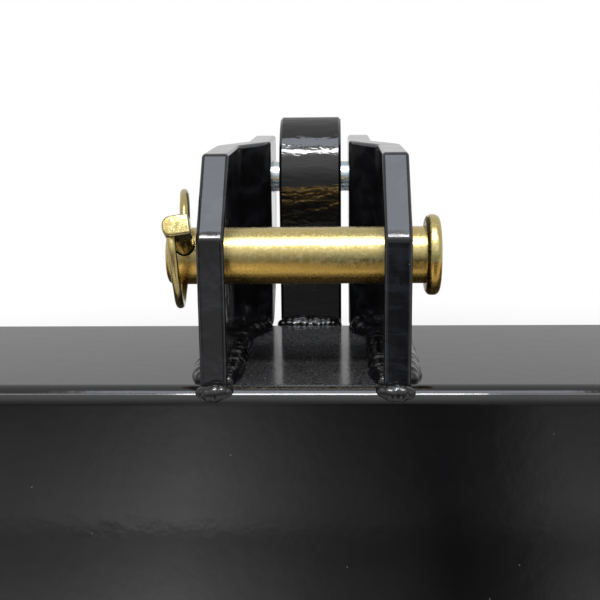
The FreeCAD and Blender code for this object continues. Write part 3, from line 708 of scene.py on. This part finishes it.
linchSpec = {
    "shankRadius": 0.00315,
    "shankSides": 40,
    "tipChamfer": 0.001,
    "tipSegments": 3,
    "headSize": (0.0088, 0.0070, 0.0064),
    "headShift": -0.0004,
    "headRounding": 0.0030,
    "headSegments": 6,
    "headEdge": 0.0008,
    "edgeSegments": 3,
    "headTurn": 9,
    "sharpFrom": 50,
    "wireRadius": 0.0014,
    "wireFacets": 5,
    "wireSteps": 6,
    "ringRadius": 0.0184,
    "ringPoints": 28,
    "ringSetIn": 0.0010,
    "ringEndDepth": 0.0024,
    "tipGap": 0.0005,
    "near": 0.00001,
    "topTilt": 31.3,
    "topFarSide": 0.01183,
    "cadHeadLength": 0.0092,
}

# how far the ring's wire stands to one side, in millimetres, at these degrees round it
millimetre = 0.001
ringSway = [(0, 2.1), (36, 1.2), (65, -0.1), (90, -1.0), (110, -1.7), (140, -2.4), (180, -2.9),
            (212, -2.85), (252, -1.7), (292, -0.8), (319, -1.1), (351, -2.0), (360, -2.2)]


def headShape(headZ):
    # a block with its two outer uprights well rounded and its other edges softened
    spec = linchSpec
    bpy.ops.mesh.primitive_cube_add(size=1, location=(0, 0, headZ), scale=spec["headSize"])
    head = bpy.context.object
    placeInMesh(head)
    bevelEdges(head, lambda a, b: abs(a.z - b.z) > spec["near"] and a.x < 0,
               spec["headRounding"], spec["headSegments"])
    applyModifier(head, "BEVEL", "softEdges", width=spec["headEdge"],
                  segments=spec["edgeSegments"], limit_method="ANGLE",
                  angle_limit=math.radians(spec["sharpFrom"]))
    turn = Matrix.Rotation(math.radians(spec["headTurn"]), 4, "Z")
    head.data.transform(Matrix.Translation((spec["headShift"], 0, 0)) @ turn)
    return head


def linchpinShape(headZ):
    # head above, shank down the Z axis; the pin that it locks lies along X
    spec = linchSpec
    ringDrop = 2 * spec["ringRadius"] - spec["ringSetIn"]
    tipZ = headZ - ringDrop + spec["wireRadius"] + spec["tipGap"]
    head = headShape(headZ)
    bpy.ops.mesh.primitive_cylinder_add(vertices=spec["shankSides"], radius=spec["shankRadius"],
                                        depth=headZ - tipZ, location=(0, 0, (headZ + tipZ) / 2))
    shank = bpy.context.object
    placeInMesh(shank)
    bevelEdges(shank, lambda a, b: max(abs(a.z - tipZ), abs(b.z - tipZ)) < spec["near"],
               spec["tipChamfer"], spec["tipSegments"])
    select(head, shank)
    bpy.ops.object.join()
    linchpin = bpy.context.object
    shadeFlatFaces(linchpin, spec["sharpFrom"])
    return linchpin


def swayAt(turn):
    for (a, first), (b, second) in zip(ringSway, ringSway[1:]):
        if turn <= b:
            return millimetre * (first + (second - first) * (turn - a) / (b - a))


def ringShape(headZ):
    # spring ring: a nearly closed hoop, sprung sideways, whose ends enter the head
    spec = linchSpec
    r = spec["ringRadius"]
    centreZ = headZ + spec["ringSetIn"] - r
    mouth = math.degrees(math.acos((r - spec["ringSetIn"]) / r))
    inside = spec["headSize"][1] / 2 - spec["ringEndDepth"]
    route = [(swayAt(0), inside, headZ)]
    for k in range(spec["ringPoints"] + 1):
        turn = mouth + (360 - 2 * mouth) * k / spec["ringPoints"]
        angle = math.radians(turn)
        route.append((swayAt(turn), r * math.sin(angle), centreZ + r * math.cos(angle)))
    route.append((swayAt(360), -inside, headZ))
    bpy.ops.curve.primitive_nurbs_path_add()
    wire = bpy.context.object
    wire.data.splines.clear()
    spline = wire.data.splines.new("NURBS")
    spline.points.add(len(route) - 1)
    for point, place in zip(spline.points, route):
        point.co = (*place, 1)
    spline.order_u = 3
    spline.use_endpoint_u = True
    wire.data.resolution_u = spec["wireSteps"]
    wire.data.bevel_depth = spec["wireRadius"]
    wire.data.bevel_resolution = spec["wireFacets"]
    wire.data.use_fill_caps = True
    select(wire)
    bpy.ops.object.convert(target="MESH")
    ring = bpy.context.object
    bpy.ops.object.shade_smooth()
    return ring


def topLinchpin():
    # tilted out of the pin, head towards the front, its ring closed over the pin's end
    spec = linchSpec
    headZ = 2 * spec["ringRadius"] - spec["topFarSide"] - spec["ringSetIn"]
    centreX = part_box("top_linchpin")[0][0] + spec["cadHeadLength"] / 2
    tilt = Matrix.Rotation(math.radians(90 - spec["topTilt"]), 4, "X")
    pin = linchpinShape(headZ)
    ring = ringShape(headZ)
    for piece in (pin, ring):
        piece.data.transform(Matrix.Translation((centreX, 0, 0)) @ tilt)
    finishPiece(pin, "topLinchpinSteel", "top_linchpin", "linch", "top_linchpin")
    finishPiece(ring, "topLinchpinWire", "top_ring", "ring", "top_linchpin_ring")


topLinchpin()
print("top linchpin and its ring made")


floorSpec = {
    "width": 9.0,
    "rimPoints": 96,
    "color": (0.80, 0.80, 0.80),
    "roughness": 0.9,
    "shine": 0.1,
    "fade": (0.9, 2.2),
}


def buildFloor():
    # pale floor; far out it turns plain white for every ray but the falling light
    spec = floorSpec
    bpy.ops.mesh.primitive_circle_add(vertices=spec["rimPoints"], radius=spec["width"] / 2,
                                      fill_type="NGON", location=(0, 0, cadBox[0][2]))
    floor = bpy.context.object
    floor.name = "studioFloor"
    material, tree, shader = newMaterial("paleFloor")
    shader.inputs["Base Color"].default_value = spec["color"] + (1,)
    shader.inputs["Roughness"].default_value = spec["roughness"]
    shader.inputs["Specular IOR Level"].default_value = spec["shine"]
    distance = addNode(tree, "ShaderNodeVectorMath", operation="LENGTH")
    tree.links.new(stretchedCoords(tree, (1, 1, 0)), distance.inputs[0])
    fade = ranged(tree, distance.outputs["Value"], 0, 1, *spec["fade"])
    path = addNode(tree, "ShaderNodeLightPath").outputs
    seen = maths(tree, "MAXIMUM", path["Is Camera Ray"], path["Is Glossy Ray"])
    seen = maths(tree, "MAXIMUM", seen, path["Is Transmission Ray"])
    white = addNode(tree, "ShaderNodeEmission")
    blend = addNode(tree, "ShaderNodeMixShader")
    tree.links.new(maths(tree, "MULTIPLY", fade, seen), blend.inputs["Fac"])
    tree.links.new(shader.outputs["BSDF"], blend.inputs[1])
    tree.links.new(white.outputs["Emission"], blend.inputs[2])
    tree.links.new(blend.outputs["Shader"], tree.nodes["Material Output"].inputs["Surface"])
    floor.data.materials.append(material)


worldSpec = {
    "front": 0.25,
    "back": 0.55,
    "backMirrored": 0.82,
    "backRange": (-0.9, 0.1),
    "wall": (0.45, 1.5),
    "wallHeight": (0.05, 0.72),
    "wallDepth": (-0.45, -0.15),
}


def buildWorld():
    # white to the eye and softer on surfaces; mirrored, a front wall that brightens upwards
    spec = worldSpec
    world = bpy.data.worlds.new("softRoom")
    bpy.context.scene.world = world
    world.use_nodes = True
    tree = world.node_tree
    background = tree.nodes["Background"]
    coords = addNode(tree, "ShaderNodeTexCoord")
    toward = axes(tree, coords.outputs["Generated"])
    soft = ranged(tree, toward["Y"], spec["front"], spec["back"], *spec["backRange"])
    room = ranged(tree, toward["Y"], spec["front"], spec["backMirrored"], *spec["backRange"])
    wall = ranged(tree, toward["Z"], *spec["wall"], *spec["wallHeight"])
    inFront = ranged(tree, toward["Y"], 1, 0, *spec["wallDepth"])
    risen = maths(tree, "MULTIPLY", inFront, maths(tree, "SUBTRACT", wall, room))
    shine = maths(tree, "SUBTRACT", maths(tree, "ADD", room, risen), soft)
    path = addNode(tree, "ShaderNodeLightPath").outputs
    level = maths(tree, "ADD", soft, maths(tree, "MULTIPLY", shine, path["Is Glossy Ray"]))
    strength = maths(tree, "MAXIMUM", level, path["Is Camera Ray"])
    tree.links.new(strength, background.inputs["Strength"])
    background.inputs["Color"].default_value = (1, 1, 1, 1)


lampSpec = [
    {"name": "overheadSoftbox", "place": (0.0, -0.30, 1.40), "size": (0.9, 0.45),
     "radiance": 4.2, "color": (0.82, 0.88, 1.0)},
    {"name": "keyStrip", "place": (0.0, -0.635, 1.15), "size": (0.5, 0.20),
     "radiance": 25.0, "color": (1.0, 1.0, 1.0)},
    {"name": "wideStrip", "place": (0.0, -0.64, 1.18), "size": (1.8, 0.1),
     "radiance": 6.0, "color": (1.0, 1.0, 1.0)},
]


def buildLamps():
    # every lamp looks at the origin
    for spec in lampSpec:
        place = Vector(spec["place"])
        width, height = spec["size"]
        bpy.ops.object.light_add(type="AREA", location=place)
        lamp = bpy.context.object
        lamp.name = spec["name"]
        lamp.data.shape = "RECTANGLE"
        lamp.data.size = width
        lamp.data.size_y = height
        lamp.data.energy = spec["radiance"] * math.pi * width * height
        lamp.data.color = spec["color"]
        lamp.visible_camera = False
        lamp.rotation_euler = (-place).to_track_quat("-Z", "Y").to_euler()


cardSpec = {
    "place": (0.0, -0.84, -0.26),
    "tilt": 155.5,
    "width": 0.70,
    "length": 1.01,
    "widened": 3,
    "brightest": 1.65,
    "across": [(0.05, 0.76), (0.15, 1.0), (0.30, 1.65), (0.40, 1.0), (0.50, 0.48),
               (0.60, 0.25), (0.67, 0.03), (0.75, 0.20), (0.84, 0.85), (1.0, 1.0)],
    "along": [(0.14, 1.0), (0.235, 0.46), (0.255, 0.97), (0.413, 0.43), (0.5, 0.33)],
}


def rampOf(tree, value, stops, scale):
    # a grey ramp through the given stops
    ramp = addNode(tree, "ShaderNodeValToRGB")
    tree.links.new(value, ramp.inputs["Fac"])
    elements = ramp.color_ramp.elements
    while len(elements) < len(stops):
        elements.new(0.5)
    for element, (position, level) in zip(elements, stops):
        element.position = position
        element.color = (level * scale, level * scale, level * scale, 1)
    return ramp.outputs["Color"]


def buildCard():
    # a shaded reflector low in front, which only the gloss sees; beyond its width it
    # runs on in its last shade
    spec = cardSpec
    bpy.ops.mesh.primitive_plane_add(size=1, location=spec["place"],
                                     rotation=(math.radians(spec["tilt"]), 0, 0))
    card = bpy.context.object
    card.name = "shadedCard"
    card.data.transform(Matrix.Diagonal((spec["width"] * spec["widened"], spec["length"], 1, 1)))
    material, tree = newMaterial("cardShade")[:2]
    place = axes(tree, stretchedCoords(tree))
    across = maths(tree, "ADD", maths(tree, "DIVIDE", place["X"], spec["width"]), 0.5)
    along = maths(tree, "ADD", maths(tree, "DIVIDE", place["Y"], spec["length"]), 0.5)
    glow = maths(tree, "MULTIPLY", rampOf(tree, across, spec["across"], 1 / spec["brightest"]),
                 rampOf(tree, along, spec["along"], 1.0))
    light = addNode(tree, "ShaderNodeEmission")
    strength = maths(tree, "MULTIPLY", glow, spec["brightest"])
    tree.links.new(strength, light.inputs["Strength"])
    tree.links.new(light.outputs["Emission"], tree.nodes["Material Output"].inputs["Surface"])
    card.data.materials.append(material)
    for ray in ("camera", "diffuse", "shadow", "transmission"):
        setattr(card, "visible_" + ray, False)


cameraSpec = {
    "place": (0.01005, -0.33204, 0.05974),
    "down": 12.735,
    "left": 2.093,
    "roll": -0.681,
    "lens": 60.38,
    "clipStart": 0.01,
}


def buildCamera():
    spec = cameraSpec
    bpy.ops.object.camera_add()
    camera = bpy.context.object
    camera.data.lens = spec["lens"]
    camera.data.clip_start = spec["clipStart"]
    turn = Matrix.Rotation(math.radians(spec["left"]), 4, "Z")
    tip = Matrix.Rotation(math.radians(90 - spec["down"]), 4, "X")
    roll = Matrix.Rotation(math.radians(spec["roll"]), 4, "Z")
    camera.matrix_world = Matrix.Translation(spec["place"]) @ turn @ tip @ roll
    bpy.context.scene.camera = camera


buildFloor()
buildWorld()
buildLamps()
buildCard()
buildCamera()
bpy.context.scene.view_settings.view_transform = "Standard"
print("stage, lamps and camera are up")
